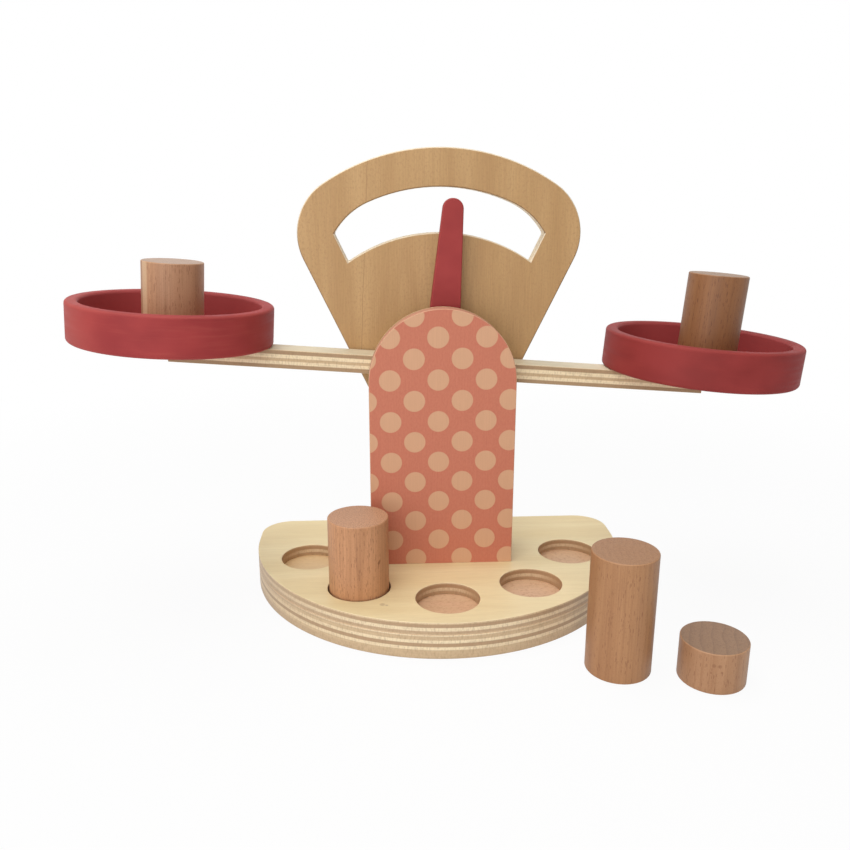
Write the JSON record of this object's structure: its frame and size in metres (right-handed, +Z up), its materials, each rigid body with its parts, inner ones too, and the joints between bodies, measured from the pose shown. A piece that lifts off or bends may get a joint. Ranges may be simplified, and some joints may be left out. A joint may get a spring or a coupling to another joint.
{
  "type": "wooden balance scale toy",
  "caption": "Toy balance scale with a swinging beam, round pans, a pointer in front of a fan dial, a dotted arch panel, and cylinder weights with recesses in the base.",
  "frame": {"origin": "middle of the base board's underside, in the plane of the front panel's front face", "axes": "+X along the beam to the right as seen from the front, +Y from the front panel to the dial plate, +Z up"},
  "size_m": [0.4513, 0.2015, 0.2785],
  "materials": {
    "base_plywood": "clear matt lacquer over plywood, edge plies showing",
    "dotted_panel": "matt coral print with bare wood dots, pale plywood edges",
    "dial_wood": "clear matt lacquer, upright grain",
    "beam_plywood": "clear matt lacquer over plywood, edge plies showing",
    "spacer_wood": "bare wood",
    "red_paint": "matt red stain on turned wood",
    "beech": "clear matt lacquer over beech",
    "steel": "zinc plated",
    "nylon": "natural nylon"
  },
  "bodies": {
    "housing": {"base_board": "base_plywood", "recess_board": "base_plywood", "front_panel": "dotted_panel", "dial_plate": "dial_wood", "left_spacer_strip": "spacer_wood", "right_spacer_strip": "spacer_wood", "pivot_pin": "steel", "front_washer": "nylon", "rear_washer": "nylon", "base_screws": "steel"},
    "beam": {"beam": "beam_plywood", "pointer": "red_paint", "counterweight": "steel", "counterweight_pin": "steel", "left_pan": "red_paint", "right_pan": "red_paint", "pan_screws": "steel"},
    "smallest_weight": {"smallest_weight": "beech"},
    "second_weight": {"second_weight": "beech"},
    "middle_weight": {"middle_weight": "beech"},
    "fourth_weight": {"fourth_weight": "beech"},
    "tallest_weight": {"tallest_weight": "beech"}
  },
  "joints": [
    {"name": "beam_swing", "type": "hinge", "parent": "housing", "child": "beam", "pos_m": [0, 0.0216, 0.1473], "axis": [0, 1, 0], "range_deg": [-14.1, 5.9]},
    {"name": "smallest_weight_lift", "type": "slide", "parent": "housing", "child": "smallest_weight", "axis": [0, 0, 1], "range_m": [0, 0.06]},
    {"name": "second_weight_lift", "type": "slide", "parent": "beam", "child": "second_weight", "axis": [0.0715, 0, 0.9974], "range_m": [0, 0.06]},
    {"name": "middle_weight_lift", "type": "slide", "parent": "housing", "child": "middle_weight", "axis": [0, 0, 1], "range_m": [0, 0.06]},
    {"name": "fourth_weight_lift", "type": "slide", "parent": "beam", "child": "fourth_weight", "axis": [0.0715, 0, 0.9974], "range_m": [0, 0.06]},
    {"name": "tallest_weight_lift", "type": "slide", "parent": "housing", "child": "tallest_weight", "axis": [0, 0, 1], "range_m": [0, 0.06]}
  ]
}
